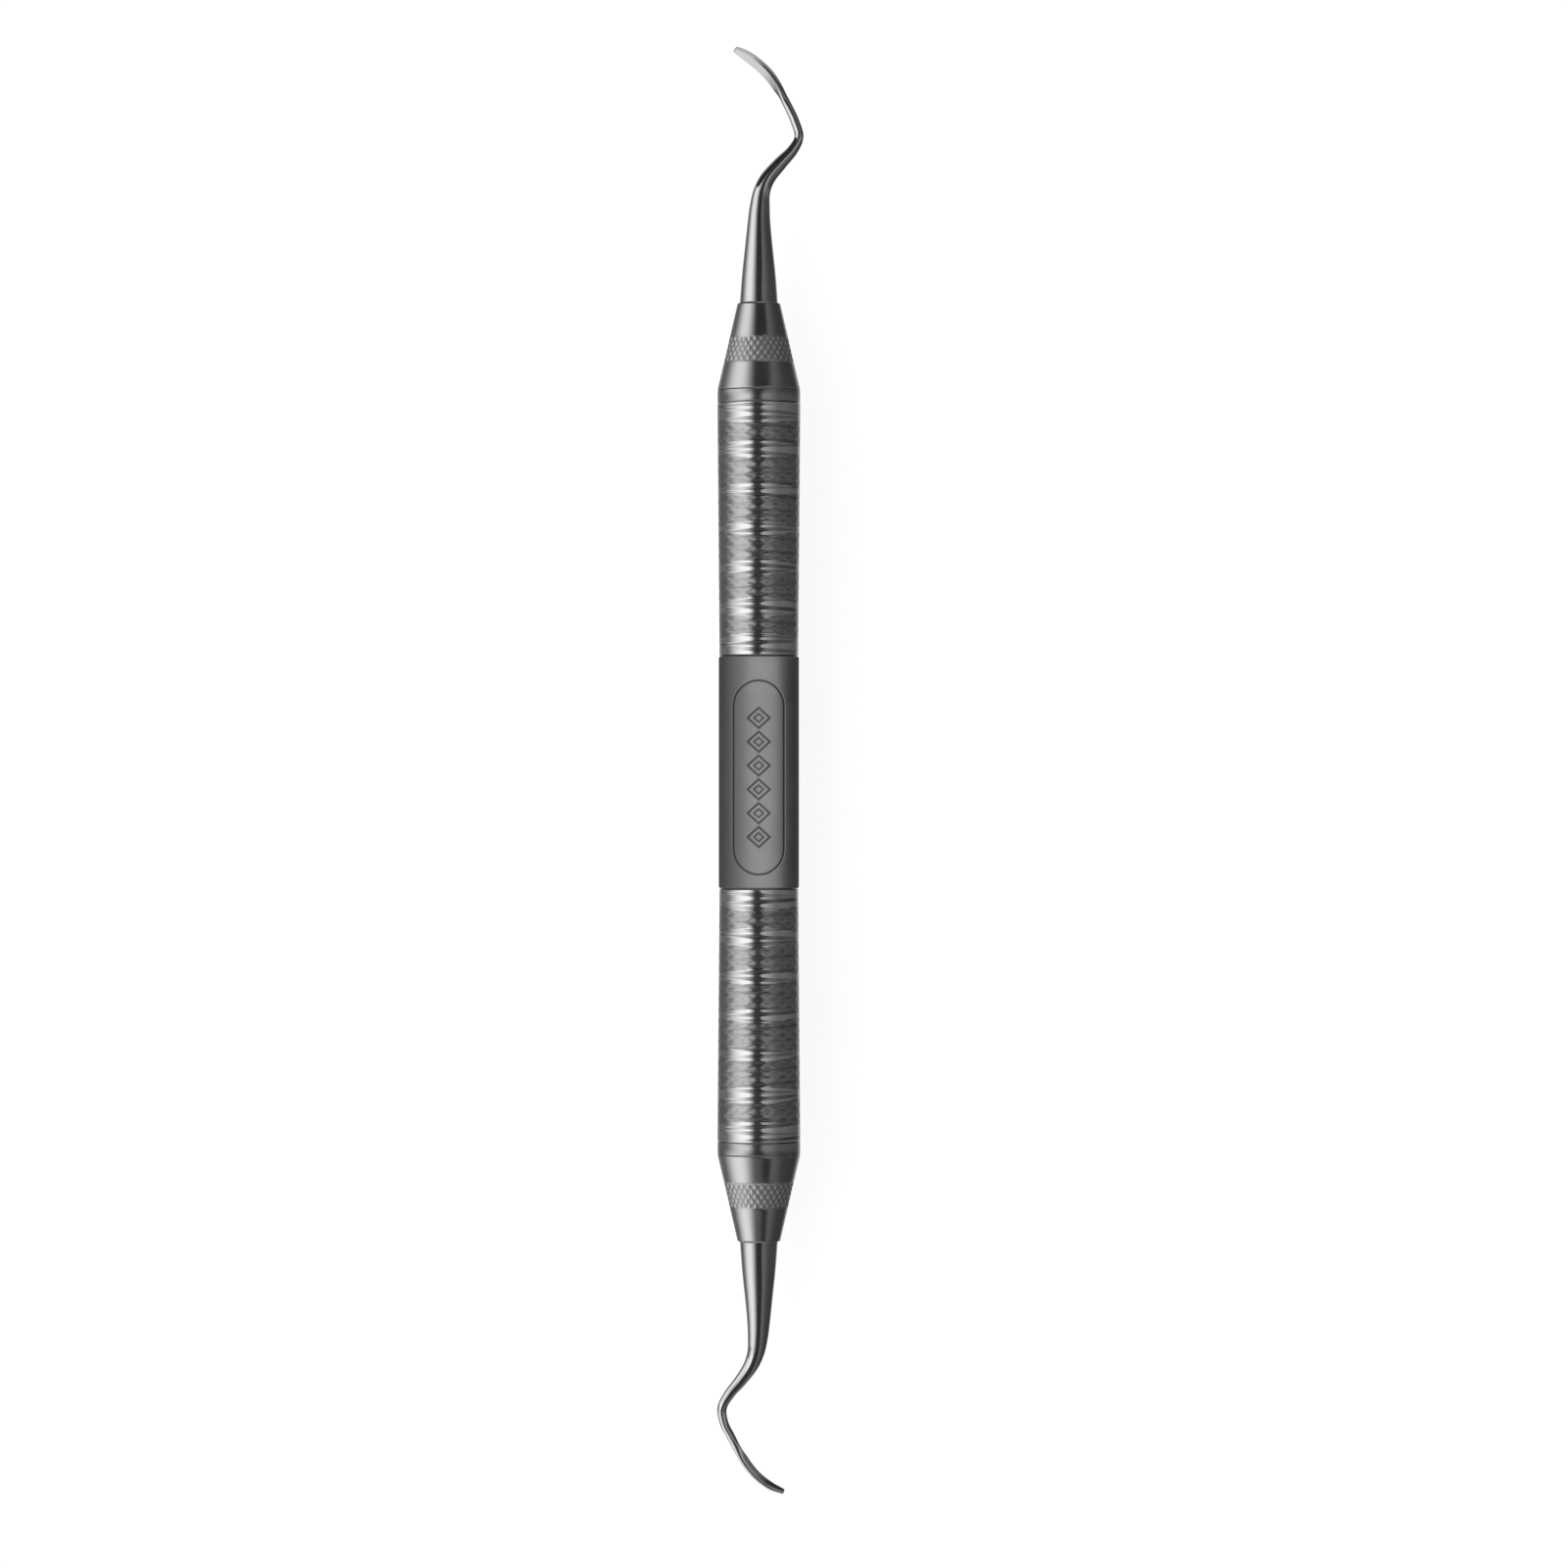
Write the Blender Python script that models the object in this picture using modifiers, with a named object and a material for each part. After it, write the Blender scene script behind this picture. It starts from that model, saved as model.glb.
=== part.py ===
"""A double-ended hand scaler, in metres, +Z up.

The handle is a hollow stainless tube in three pieces: a satin centre barrel with a spigot at each end, and two
polished grip tubes pushed over the spigots. A threaded plug closes the outer end of each grip tube. A knurled cone
screws into each plug on a right-hand M5 x 0.8 stud, with a sealing ring round the neck of the stud, and the tang of
a forged shank and blade is fixed in the bore of each cone. The two tips are mirrored twins.

The handle lies along X, resting on z = 0, with the origin under its middle. "right" is the +X end. Each piece of an
end is a child of that end's empty, which sits on the handle's axis at the middle of the handle: its local +Z points
out along the handle, its local -Y is the side that the knee of the tip bends to, and it is the axis on which the
cone, its stud and its tip turn and travel.
"""

import math

import bmesh
import bpy
from mathutils import Matrix, Vector

MM = 0.001
NAME = "hand_scaler"

ROUND_STEPS = 32  # sides of a turned piece
RING_STEPS = 24  # sides of the sealing rings
SHANK_SIDES = 16
RUN = 0.05 * MM  # clearance between two pieces that meet

# The handle, along its axis from the middle
BARREL_HALF = 13.2 * MM
BARREL_R = 4.60 * MM
BARREL_BORE_R = 3.00 * MM
SPIGOT_R = 3.80 * MM
SPIGOT_LENGTH = 8.0 * MM
GRIP_END = 42.1 * MM
GRIP_INNER_R = 4.53 * MM  # beside the barrel
GRIP_OUTER_R = 4.77 * MM  # at the outer end, where the handle rests
TUBE_BORE_R = SPIGOT_R + RUN
EDGE = 0.12 * MM  # chamfer on the handle's outer edges

# The end plugs
FLANGE_R = 4.74 * MM
FLANGE_LENGTH = 1.45 * MM
PLUG_LENGTH = 7.0 * MM  # the part inside the tube
SEAL_SEAT_R = 2.95 * MM
SEAL_SEAT_DEPTH = 0.90 * MM
RELIEF_R = 2.70 * MM
RELIEF_LENGTH = 2.4 * MM

# The M5 x 0.8 thread
PITCH = 0.8 * MM
FLANK = math.tan(math.radians(30))
STUD_CREST_R = 2.42 * MM
STUD_CORE_R = 1.95 * MM
STUD_CREST_WIDTH = 0.10 * MM
STUD_LENGTH = 5.5 * MM  # from the cone's base
STUD_TURNS = 4
SOCKET_MINOR_R = 2.10 * MM
SOCKET_MAJOR_R = 2.56 * MM
SOCKET_MAJOR_WIDTH = 0.07 * MM
SOCKET_TURNS = 7
THREAD_STEPS = 16
THREAD_SINK = 0.12 * MM  # how far a ridge's base is buried

# The sealing ring
SEAL_MAJOR_R = 2.42 * MM
SEAL_MINOR_R = 0.33 * MM

# The cones
CONE_BASE = GRIP_END + FLANGE_LENGTH
CONE_BASE_R = 4.74 * MM
CONE_END = 53.45 * MM
CONE_END_R = 2.46 * MM
CONE_BEVEL = 0.20 * MM
TANG_R = 1.20 * MM
TANG_START = 45.2 * MM
BORE_CLEARANCE = 0.06 * MM
BORE_START = TANG_START - 0.3 * MM

# The shank and blade: (bend to the knee's side, distance from the middle of the handle, half width), in millimetres
STRAIGHT = (
    (0.00, 53.5, 2.17),
    (0.00, 56.8, 1.92),
    (0.00, 60.1, 1.57),
    (0.02, 62.5, 1.33),
    (0.10, 64.4, 1.17),
    (0.34, 66.2, 0.99),
)
RIGHT_HOOK = (
    (1.05, 67.80, 0.87),
    (2.45, 69.45, 0.78),
    (3.87, 70.98, 0.63),
    (4.60, 72.50, 0.53),
    (4.14, 74.25, 0.51),
    (3.46, 75.75, 0.49),
    (2.72, 77.10, 0.48),
    (1.90, 78.55, 0.53),
    (0.87, 79.90, 0.58),
    (-0.48, 81.10, 0.58),
    (-1.65, 81.90, 0.52),
    (-2.65, 82.45, 0.36),
)
LEFT_HOOK = (
    (0.97, 67.80, 0.85),
    (2.12, 69.45, 0.72),
    (3.34, 70.91, 0.62),
    (4.20, 72.50, 0.55),
    (3.97, 74.25, 0.51),
    (3.25, 75.70, 0.49),
    (2.45, 77.10, 0.47),
    (1.60, 78.55, 0.47),
    (0.56, 79.88, 0.46),
    (-0.45, 80.80, 0.45),
    (-1.50, 81.50, 0.42),
    (-2.75, 82.05, 0.30),
)
RINGS_PER_SPAN = 3
BLADE_FROM = 11  # the point of the centre line where the round section starts to turn into the blade's
BLADE_FULL = 13  # and where it has become it
FACE_DEPTH = 0.65  # of the half width, from the centre line to the flat face
BACK_DEPTH = 1.25  # of the half width, from the centre line to the rounded back
FACE_OFFSET = math.radians(36)  # how far the face is turned out of the plane of the bends
TOE_LENGTH = 0.26 * MM

# The facets of turned pieces are turned half a step, so that the handle rests on flats
HALF_STEP = math.pi / ROUND_STEPS
AXIS_Z = GRIP_OUTER_R * math.cos(HALF_STEP)


def clear_scene():
    for obj in list(bpy.data.objects):
        bpy.data.objects.remove(obj, do_unlink=True)


def new_collection(name):
    collection = bpy.data.collections.new(name)
    bpy.context.scene.collection.children.link(collection)
    return collection


def steel(name, colour, roughness, metallic=1.0):
    material = bpy.data.materials.new(name)
    material.use_nodes = True
    shader = material.node_tree.nodes["Principled BSDF"]
    shader.inputs["Base Color"].default_value = (*colour, 1)
    shader.inputs["Roughness"].default_value = roughness
    shader.inputs["Metallic"].default_value = metallic
    material.diffuse_color = (*colour, 1)
    return material


def place(obj, parent, collection, material=None):
    collection.objects.link(obj)
    obj.parent = parent
    if material:
        obj.data.materials.append(material)
    return obj


def end_empty(name, turn):
    """An empty on the handle's axis at its middle, whose local +Z points out along the handle."""
    empty = bpy.data.objects.new(name, None)
    empty.empty_display_size = 5 * MM
    empty.matrix_world = (
        Matrix.Translation((0, 0, AXIS_Z)) @ Matrix.Rotation(turn, 4, "Z") @ Matrix.Rotation(math.pi / 2, 4, "Y")
    )
    parts.objects.link(empty)
    return empty


def turned(name, profile, closed=False):
    """A solid of revolution about Z. The profile is (radius, height) points, down the outer side first."""
    mesh = bpy.data.meshes.new(name)
    edges = [(i, i + 1) for i in range(len(profile) - 1)]
    if closed:
        edges.append((len(profile) - 1, 0))
    mesh.from_pydata([(r, 0, z) for r, z in profile], edges, [])
    obj = bpy.data.objects.new(name, mesh)
    obj.rotation_euler = (0, 0, HALF_STEP)
    screw = obj.modifiers.new("Turn", "SCREW")
    screw.steps = ROUND_STEPS
    screw.render_steps = ROUND_STEPS
    screw.use_merge_vertices = True
    screw.merge_threshold = 0.001 * MM
    screw.use_smooth_shade = True
    return obj


def ridge(name, crest_r, crest_width, base_r, start, turns, parent):
    """A closed helical ridge of the right-hand thread, for joining or cutting."""
    base_width = crest_width + 2 * (crest_r - base_r) * FLANK
    profile = (
        (crest_r, crest_width / 2),
        (crest_r, -crest_width / 2),
        (base_r, -base_width / 2),
        (base_r, base_width / 2),
    )
    mesh = bpy.data.meshes.new(name + "_profile")
    mesh.from_pydata([(r, 0, z + start) for r, z in profile], [(0, 1), (1, 2), (2, 3), (3, 0)], [])
    guide = bpy.data.objects.new(name + "_guide", mesh)
    helpers.objects.link(guide)
    screw = guide.modifiers.new("Helix", "SCREW")
    screw.steps = THREAD_STEPS
    screw.render_steps = THREAD_STEPS
    screw.screw_offset = PITCH
    screw.iterations = turns
    bpy.context.view_layer.update()
    evaluated = guide.evaluated_get(bpy.context.evaluated_depsgraph_get())
    helix = bpy.data.meshes.new_from_object(evaluated)
    bpy.data.objects.remove(guide, do_unlink=True)
    work = bmesh.new()
    work.from_mesh(helix)
    bmesh.ops.holes_fill(work, edges=[e for e in work.edges if e.is_boundary], sides=4)
    bmesh.ops.recalc_face_normals(work, faces=work.faces[:])
    work.to_mesh(helix)
    work.free()
    obj = bpy.data.objects.new(name, helix)
    obj.hide_render = True
    obj.display_type = "WIRE"
    return place(obj, parent, helpers)


def combine(obj, cutter, operation):
    boolean = obj.modifiers.new(operation.title(), "BOOLEAN")
    boolean.operation = operation
    boolean.object = cutter
    return obj


def smooth_path(points, per_span):
    """Catmull-Rom through the points: (value per span, vector) pairs, with the points themselves kept."""
    rows = [Vector(p) for p in points]
    rows = [2 * rows[0] - rows[1], *rows, 2 * rows[-1] - rows[-2]]
    path = []
    for i in range(1, len(rows) - 2):
        a, b, c, d = rows[i - 1 : i + 3]
        for k in range(per_span):
            t = k / per_span
            inner = 2 * b + (c - a) * t + (2 * a - 5 * b + 4 * c - d) * t**2 + (3 * b - a - 3 * c + d) * t**3
            path.append((i - 1 + t, inner / 2))
    path.append((len(points) - 1, rows[-2]))
    return path


def section(half_width, blade):
    """One section as (towards the back, across) pairs: a circle where blade is 0, the blade's D where it is 1."""
    face = half_width * FACE_DEPTH
    depth = half_width * (FACE_DEPTH + BACK_DEPTH)
    twist = FACE_OFFSET * blade
    points = []
    for k in range(SHANK_SIDES):
        angle = 2 * math.pi * k / SHANK_SIDES
        across = half_width * math.sin(angle)
        curette = depth * max(math.cos(angle), 0) - face
        outward = half_width * math.cos(angle) * (1 - blade) + curette * blade
        points.append(
            (
                outward * math.cos(twist) - across * math.sin(twist),
                outward * math.sin(twist) + across * math.cos(twist),
            )
        )
    return points


def scaler_tip(name, parent, hand, hook):
    """Tang, tapered shank, two bends and blade, lofted along one line. hand is 1 or -1, for the mirrored twins."""
    rings = []
    across = Vector((hand, 0, 0))
    for along, radius in (
        (TANG_START, TANG_R * 0.85),
        (TANG_START + 0.2 * MM, TANG_R),
        (CONE_END + RUN, TANG_R),
    ):
        rings.append((Vector((0, 0, along)), Vector((0, -1, 0)), section(radius, 0)))
    path = smooth_path(STRAIGHT + hook, RINGS_PER_SPAN)
    centres = [Vector((0, -p.x * MM, p.y * MM)) for _, p in path]
    for i, (value, point) in enumerate(path):
        ahead = centres[min(i + 1, len(centres) - 1)] - centres[max(i - 1, 0)]
        back = Vector((1, 0, 0)).cross(ahead.normalized())
        blade = min(max((value - BLADE_FROM) / (BLADE_FULL - BLADE_FROM), 0), 1)
        rings.append((centres[i], back, section(point.z * MM, blade * blade * (3 - 2 * blade))))
    # the rounded toe
    tangent = (centres[-1] - centres[-2]).normalized()
    half_width = path[-1][1].z * MM
    for angle in (math.radians(35), math.radians(62)):
        centre = centres[-1] + tangent * TOE_LENGTH * math.sin(angle)
        rings.append((centre, back, section(half_width * math.cos(angle), 1)))
    toe = centres[-1] + tangent * TOE_LENGTH

    work = bmesh.new()
    loops = []
    for centre, back, outline in rings:
        loops.append([work.verts.new(centre + back * out + across * side) for out, side in outline])
    for lower, upper in zip(loops, loops[1:]):
        for k in range(SHANK_SIDES):
            n = (k + 1) % SHANK_SIDES
            work.faces.new((lower[k], lower[n], upper[n], upper[k]))
    work.faces.new(reversed(loops[0]))
    point = work.verts.new(toe)
    for k in range(SHANK_SIDES):
        work.faces.new((loops[-1][k], loops[-1][(k + 1) % SHANK_SIDES], point))
    bmesh.ops.recalc_face_normals(work, faces=work.faces[:])
    mesh = bpy.data.meshes.new(name)
    work.to_mesh(mesh)
    work.free()
    mesh.shade_smooth()
    mesh.set_sharp_from_angle(angle=math.radians(40))
    return place(bpy.data.objects.new(name, mesh), parent, parts, POLISHED)


def centre_barrel():
    end = BARREL_HALF + SPIGOT_LENGTH
    outer = [
        (SPIGOT_R - EDGE, end),
        (SPIGOT_R, end - EDGE),
        (SPIGOT_R, BARREL_HALF),
        (BARREL_R - EDGE, BARREL_HALF),
        (BARREL_R, BARREL_HALF - EDGE),
    ]
    profile = [*outer, *[(r, -z) for r, z in reversed(outer)], (BARREL_BORE_R, -end), (BARREL_BORE_R, end)]
    return place(turned("centre_barrel", profile, closed=True), right_end, parts, SATIN)


def grip_tube(name, parent):
    start = BARREL_HALF + RUN
    end = GRIP_END - RUN
    profile = [
        (TUBE_BORE_R, end),
        (GRIP_OUTER_R - EDGE, end),
        (GRIP_OUTER_R, end - EDGE),
        (GRIP_INNER_R, start + EDGE),
        (GRIP_INNER_R - EDGE, start),
        (TUBE_BORE_R, start),
    ]
    return place(turned(name, profile, closed=True), parent, parts, POLISHED)


def end_plug(side, parent):
    face = CONE_BASE - RUN
    inner = GRIP_END - PLUG_LENGTH
    thread_low = inner + RELIEF_LENGTH
    profile = [
        (SEAL_SEAT_R, face),
        (FLANGE_R - EDGE, face),
        (FLANGE_R, face - EDGE),
        (FLANGE_R, GRIP_END),
        (SPIGOT_R, GRIP_END),
        (SPIGOT_R, inner + EDGE),
        (SPIGOT_R - EDGE, inner),
        (RELIEF_R, inner),
        (RELIEF_R, thread_low),
        (SOCKET_MINOR_R, thread_low + (RELIEF_R - SOCKET_MINOR_R)),
        (SOCKET_MINOR_R, face - SEAL_SEAT_DEPTH),
        (SEAL_SEAT_R, face - SEAL_SEAT_DEPTH),
    ]
    groove = ridge(
        side + "_socket_groove",
        SOCKET_MAJOR_R,
        SOCKET_MAJOR_WIDTH,
        SOCKET_MINOR_R - THREAD_SINK,
        thread_start - PITCH,
        SOCKET_TURNS,
        parent,
    )
    plug = combine(turned(side + "_end_plug", profile, closed=True), groove, "DIFFERENCE")
    return place(plug, parent, parts, BRIGHT_SATIN)


def seal_ring(side, parent):
    bpy.ops.mesh.primitive_torus_add(
        major_segments=RING_STEPS,
        minor_segments=10,
        major_radius=SEAL_MAJOR_R,
        minor_radius=SEAL_MINOR_R,
    )
    ring = bpy.context.active_object
    ring.name = side + "_seal_ring"
    for collection in list(ring.users_collection):
        collection.objects.unlink(ring)
    ring.location = (0, 0, CONE_BASE - SEAL_SEAT_DEPTH / 2)
    ring.data.shade_smooth()
    return place(ring, parent, parts, RUBBER)


def cone(side, parent):
    low = CONE_BASE
    stud_end = low - STUD_LENGTH
    chamfer = STUD_CORE_R * 0.15
    profile = [
        (TANG_R + BORE_CLEARANCE, CONE_END),
        (CONE_END_R - CONE_BEVEL, CONE_END),
        (CONE_END_R, CONE_END - CONE_BEVEL),
        (CONE_BASE_R, low + EDGE),
        (CONE_BASE_R - EDGE, low),
        (STUD_CORE_R, low),
        (STUD_CORE_R, stud_end + chamfer),
        (STUD_CORE_R - chamfer, stud_end),
        (0, stud_end),
    ]
    profile = [(0, BORE_START), (TANG_R + BORE_CLEARANCE, BORE_START), *profile]
    thread = ridge(
        side + "_stud_thread",
        STUD_CREST_R,
        STUD_CREST_WIDTH,
        STUD_CORE_R - THREAD_SINK,
        thread_start,
        STUD_TURNS,
        parent,
    )
    body = combine(turned(side + "_cone", profile), thread, "UNION")
    return place(body, parent, parts, BRIGHT_SATIN)


clear_scene()
parts = new_collection(NAME)
helpers = new_collection(NAME + "_cutters")
POLISHED = steel("polished_steel", (0.74, 0.74, 0.75), 0.10)
SATIN = steel("satin_steel", (0.60, 0.60, 0.61), 0.42)
BRIGHT_SATIN = steel("bright_satin_steel", (0.70, 0.70, 0.71), 0.28)
RUBBER = steel("seal_rubber", (0.03, 0.03, 0.03), 0.60, metallic=0.0)

# the first crest of the stud's thread, near the stud's inner end
thread_start = CONE_BASE - STUD_LENGTH + 0.5 * MM

right_end = end_empty("right_end", 0)
left_end = end_empty("left_end", math.pi)
centre_barrel()
for side, end, hand, hook in (("right", right_end, 1, RIGHT_HOOK), ("left", left_end, -1, LEFT_HOOK)):
    grip_tube(side + "_grip_tube", end)
    end_plug(side, end)
    seal_ring(side, end)
    cone(side, end)
    scaler_tip(side + "_scaler_tip", end, hand, hook)
helpers.hide_render = True
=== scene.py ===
"""The looks of a double-ended hand scaler, lying along X on a plain white floor and seen from straight above.

Each piece is a fine mesh that stands for one CAD node: two polished grip tubes with ring grooves and bands of
shallow diamonds, a satin barrel with an engraved border, and at each end a plug, a sealing ring, a knurled
cone with its stud, and a bent tip. A piece of one end is made for the right end and turned half round the
vertical for the left end.
"""

import math

import bpy
import numpy as np
from mathutils import Matrix, Vector


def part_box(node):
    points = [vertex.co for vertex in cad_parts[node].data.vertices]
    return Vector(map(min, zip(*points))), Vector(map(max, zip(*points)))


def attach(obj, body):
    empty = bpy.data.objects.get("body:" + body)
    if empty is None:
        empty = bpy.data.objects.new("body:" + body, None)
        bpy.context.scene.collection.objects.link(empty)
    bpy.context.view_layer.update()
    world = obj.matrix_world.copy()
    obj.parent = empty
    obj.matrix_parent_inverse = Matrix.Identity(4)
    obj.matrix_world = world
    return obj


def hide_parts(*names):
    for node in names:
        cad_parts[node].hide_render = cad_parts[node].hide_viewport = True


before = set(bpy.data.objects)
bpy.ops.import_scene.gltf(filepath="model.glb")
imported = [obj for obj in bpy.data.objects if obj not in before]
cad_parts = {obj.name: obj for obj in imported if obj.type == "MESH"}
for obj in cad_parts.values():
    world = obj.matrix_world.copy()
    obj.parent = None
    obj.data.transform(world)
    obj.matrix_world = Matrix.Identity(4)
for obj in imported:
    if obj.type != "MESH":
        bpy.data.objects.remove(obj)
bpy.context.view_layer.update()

MM = 0.001

# Places and sizes read from the frame
GRIP_LOW, GRIP_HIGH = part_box("right_grip_tube")
BARREL_LOW, BARREL_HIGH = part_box("centre_barrel")
PLUG_LOW, PLUG_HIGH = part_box("right_end_plug")
SEAL_LOW, SEAL_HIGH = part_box("right_seal_ring")
CONE_LOW, CONE_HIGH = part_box("right_cone")
AXIS_Z = (GRIP_LOW.z + GRIP_HIGH.z) / 2
BARREL_R = (BARREL_HIGH.z - BARREL_LOW.z) / 2
GRIP_R = (GRIP_HIGH.z - GRIP_LOW.z) / 2
FLANGE_R = (PLUG_HIGH.z - PLUG_LOW.z) / 2
CONE_R = (CONE_HIGH.z - CONE_LOW.z) / 2

# The handle, in metres from its middle
BARREL_HALF = GRIP_LOW.x - 0.05 * MM
SPIGOT_R = 3.80 * MM
BARREL_BORE_R = 3.00 * MM
GRIP_INNER_R = GRIP_R - 0.235 * MM
EDGE = 0.12 * MM
FINE_EDGE = 0.09 * MM
PLAIN_EDGE = 0.5 * MM

# The engraved border on the barrel, and the row of lozenges inside it
BORDER_CENTRE = -0.6 * MM
BORDER_HALF = 11.0 * MM
BORDER_R = 2.9 * MM
LINE_HALF = 0.10 * MM
ENGRAVING_DEPTH = 0.05 * MM
LOZENGES = 6
LOZENGE_SPACING = 2.7 * MM
LOZENGE_LENGTH = 1.15 * MM
LOZENGE_WIDTH = 1.30 * MM
INNER_LOZENGE = 0.42

# The bands of shallow diamonds on a grip, from its outer end
BAND_FIRST = 3.45 * MM
BAND_SPACING = 4.38 * MM
BAND_WIDTHS = (1.9, 2.8, 2.8, 2.7, 2.5, 1.8)
BAND_FLARE = 0.62 * MM
DIAMOND_LENGTH = 1.20 * MM
DIAMONDS_ROUND = 15
DIAMOND_DEPTH = 0.040 * MM
RING_SPACING = BAND_SPACING / 5.5
RING_DEPTH = 0.055 * MM
RING_HALF = 0.13 * MM
RING_TILT = 0.25 * MM
RING_FADE = math.radians(60)
RING_LOSS_IN_BAND = 0.45
RING_FREE_END = 1.6 * MM
BAND_EDGE = (0.12 * MM, 0.06 * MM)

# The plug's seat and thread, and the stud's
SEAT_R = 2.95 * MM
SEAT_DEPTH = 0.90 * MM
PITCH = 0.8 * MM
STUD_LENGTH = 5.5 * MM
STUD_CREST_R = 2.42 * MM
STUD_CORE_R = 1.95 * MM
SOCKET_MINOR_R = 2.10 * MM
SOCKET_MAJOR_R = 2.56 * MM
NECK_LENGTH = 1.6 * MM
FLASH_HEIGHT = 0.012 * MM

# The cone
CONE_BASE = PLUG_HIGH.x + 0.05 * MM
CONE_END_R = 2.45 * MM
CONE_BEVEL = 0.035 * MM
TANG_R = 1.20 * MM
KNURL_START = 46.7 * MM
KNURL_END = 49.5 * MM
KNURL_ROW = 0.56 * MM
KNURLS_ROUND = 30
KNURL_DEPTH = 0.075 * MM
KNURL_SHARPNESS = 1.3
KNURL_FADE = 0.25 * MM

# The shank and blade, in millimetres: (bend to the knee's side, distance from the middle of the handle,
# half width)
STRAIGHT = (
    (0.00, 53.5, 2.17),
    (0.00, 56.8, 1.92),
    (0.00, 60.1, 1.57),
    (0.02, 62.5, 1.33),
    (0.10, 64.4, 1.17),
    (0.34, 66.2, 0.99),
)
RIGHT_HOOK = (
    (1.05, 67.80, 0.87),
    (2.45, 69.45, 0.78),
    (3.87, 70.98, 0.63),
    (4.60, 72.50, 0.53),
    (4.14, 74.25, 0.51),
    (3.46, 75.75, 0.49),
    (2.72, 77.10, 0.48),
    (1.90, 78.55, 0.53),
    (0.87, 79.90, 0.58),
    (-0.48, 81.10, 0.58),
    (-1.65, 81.90, 0.52),
    (-2.65, 82.45, 0.36),
)
LEFT_HOOK = (
    (0.97, 67.80, 0.85),
    (2.12, 69.45, 0.72),
    (3.34, 70.91, 0.62),
    (4.20, 72.50, 0.55),
    (3.97, 74.25, 0.51),
    (3.25, 75.70, 0.49),
    (2.45, 77.10, 0.47),
    (1.60, 78.55, 0.47),
    (0.56, 79.88, 0.46),
    (-0.45, 80.80, 0.45),
    (-1.50, 81.50, 0.42),
    (-2.75, 82.04, 0.30),
)
RINGS_PER_SPAN = 14
SHANK_SIDES = 64
BLADE_FROM = 11
BLADE_FULL = 13
FACE_DEPTH = 0.65
BACK_DEPTH = 1.25
FACE_OFFSET = math.radians(36)
TOE_LENGTH = 0.15 * MM
TOE_RINGS = 10
HOOK_SCALE = 0.996  # the fine curve swings a little wider than the coarse solid between its points

# The black card by the right end's tip: its angles from straight up towards +Y, its distance and its length
FLAG_FROM = 12
FLAG_TO = 110
FLAG_R = 45 * MM
FLAG_ALONG = (92 * MM, 150 * MM)

# How finely the surfaces are divided: columns go round the axis, rows along it. The first of the barrel's
# numbers of columns is for the stretch on either side of the top that is engraved.
BARREL_COLUMNS = (150, 60)
BARREL_FINE_HALF = math.radians(46)
BARREL_ROWS = 340
GRIP_COLUMNS = 208
GRIP_ROWS = 470
PLUG_COLUMNS = 120
SOCKET_ROWS = 100
SEAL_COLUMNS = 96
SEAL_SIDES = 32
CONE_COLUMNS = 300
STUD_ROWS = 96
CONE_ROWS = (16, 64, 20)
SHARP_ANGLE = math.radians(42)

# The camera: how much of the floor's plane it sees, and where it looks
VIEW_WIDTH = 178.9 * MM
VIEW_CENTRE = (-1.34 * MM, -2.87 * MM)
LENS = 120
SENSOR = 36


# ---------------------------------------------------------------- meshes


def smooth_step(value, low, high):
    t = np.clip((value - low) / (high - low), 0, 1)
    return t * t * (3 - 2 * t)


def grid_object(name, points, across_closed=True, loop=False, caps=(False, False), marks=None):
    """A mesh of quads from points (rows, columns, 3), with an n-gon cap on the first and last row if asked
    for. marks are named values at the points, which materials read."""
    rows, columns = points.shape[:2]
    index = np.arange(rows * columns).reshape(rows, columns)
    upper = np.roll(index, -1, axis=0) if loop else index[1:]
    lower = index if loop else index[:-1]
    quads = np.stack([lower, np.roll(lower, -1, 1), np.roll(upper, -1, 1), upper], axis=-1)
    if not across_closed:
        quads = quads[:, :-1]
    faces = quads.reshape(-1, 4).tolist()
    if caps[0]:
        faces.append(index[0][::-1].tolist())
    if caps[1]:
        faces.append(index[-1].tolist())
    mesh = bpy.data.meshes.new(name)
    mesh.from_pydata(points.reshape(-1, 3).tolist(), [], faces)
    mesh.shade_smooth()
    mesh.set_sharp_from_angle(angle=SHARP_ANGLE)
    for key, values in (marks or {}).items():
        at_points = np.broadcast_to(values, (rows, columns)).astype(np.float32).ravel()
        mesh.attributes.new(key, "FLOAT", "POINT").data.foreach_set("value", at_points)
    obj = bpy.data.objects.new(name, mesh)
    bpy.context.scene.collection.objects.link(obj)
    return obj


def revolved(name, along, radius, phi, side=1, **options):
    """A surface round the handle's axis. along runs over the rows, radius over (rows, columns) or over rows
    alone, and phi over the columns, from the top towards the knee's side of the right end. side is 1 for the
    right end, -1 for the left."""
    shape = (len(along), len(phi))
    along = np.broadcast_to(np.asarray(along)[:, None], shape)
    radius = np.broadcast_to(radius if np.ndim(radius) == 2 else np.asarray(radius)[:, None], shape)
    points = np.stack(
        [side * along, -side * radius * np.sin(phi), AXIS_Z + radius * np.cos(phi)],
        axis=-1,
    )
    return grid_object(name, points, **options)


def round_angles(columns):
    return np.linspace(0, 2 * math.pi, columns, endpoint=False)


def wave_distance(value):
    """How far a value is from the nearest whole number."""
    return np.abs(value - np.round(value))


def groove(distance, half):
    """1 in the middle of a groove and 0 outside it, with rounded edges."""
    return np.exp(-((distance / half) ** 2))


# ---------------------------------------------------------------- materials


def feed(tree, slot, value):
    """Gives a node's input a value, or links it to another node's output."""
    if isinstance(value, bpy.types.NodeSocket):
        tree.links.new(value, slot)
    else:
        slot.default_value = value


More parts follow.
